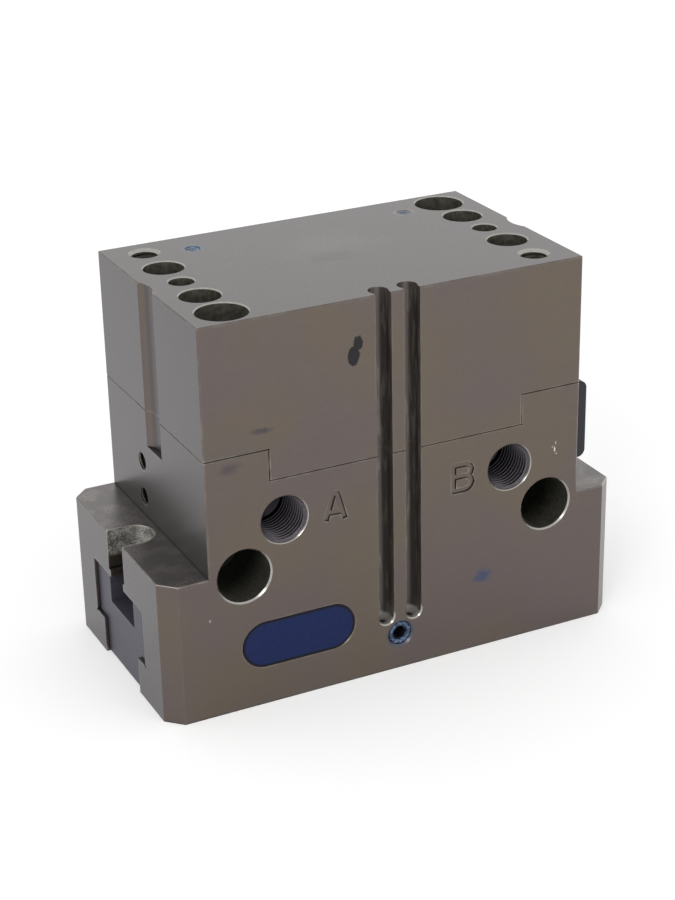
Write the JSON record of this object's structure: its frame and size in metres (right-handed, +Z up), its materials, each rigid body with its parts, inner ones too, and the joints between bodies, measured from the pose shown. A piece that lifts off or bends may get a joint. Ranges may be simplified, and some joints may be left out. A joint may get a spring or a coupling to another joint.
{
  "type": "parallel gripper",
  "caption": "Pneumatic parallel gripper with a T-slot guide, opposed base jaws, wedge-hook drive and a spring housing that keeps the jaws closed.",
  "frame": {"origin": "middle of the jaw side, on the plane the gripper stands on", "axes": "+X along the jaws' travel, -Y out of the front with the air ports, +Z up to the mounting face"},
  "size_m": [0.1, 0.05, 0.08],
  "materials": {
    "anodised_aluminium": "hard anodised, fine milling marks",
    "hardened_steel": "hardened and ground",
    "ground_steel": "ground",
    "turned_aluminium": "turned",
    "seal_rubber": "matt",
    "magnet": "nickel plated",
    "black_screw": "black oxide",
    "spring_wire": "drawn wire",
    "sealed_plug": "blue thread sealant",
    "set_screw_steel": "dark, with blue sealant",
    "blue_plate": "printed, satin",
    "black_bracket": "black, satin"
  },
  "bodies": {
    "housing": {"gripper_housing": "anodised_aluminium", "spring_housing": "anodised_aluminium", "rod_seal": "seal_rubber", "cylinder_cover": "turned_aluminium", "cover_o_ring": "seal_rubber", "cover_rod_seal": "seal_rubber", "spring_outer": "spring_wire", "spring_inner": "spring_wire", "housing_screws": "black_screw", "housing_dowels": "ground_steel", "air_plugs": "sealed_plug", "purge_screw": "set_screw_steel", "name_plate": "blue_plate", "end_bracket": "black_bracket", "bracket_screw": "black_screw"},
    "drive": {"wedge_hook": "ground_steel", "piston": "turned_aluminium", "piston_seal": "seal_rubber", "sensor_magnet": "magnet", "distance_sleeve": "ground_steel", "spring_plate": "ground_steel", "tie_bolt": "black_screw"},
    "jaw_left": {"base_jaw_left": "hardened_steel"},
    "jaw_right": {"base_jaw_right": "hardened_steel"}
  },
  "joints": [
    {"name": "piston_slide", "type": "slide", "parent": "housing", "child": "drive", "axis": [0, 0, -1], "range_m": [0, 0.01], "stiffness_N_per_m": 8000, "springref_m": -0.025, "deforming": ["spring_outer", "spring_inner"]},
    {"name": "jaw_left_slide", "type": "slide", "parent": "housing", "child": "jaw_left", "axis": [-1, 0, 0], "range_m": [0, 0.01]},
    {"name": "jaw_right_slide", "type": "slide", "parent": "housing", "child": "jaw_right", "axis": [1, 0, 0], "range_m": [0, 0.01]}
  ],
  "couplings": [
    {"joint": "jaw_left_slide", "follows": "piston_slide", "ratio": 1},
    {"joint": "jaw_right_slide", "follows": "piston_slide", "ratio": 1}
  ]
}
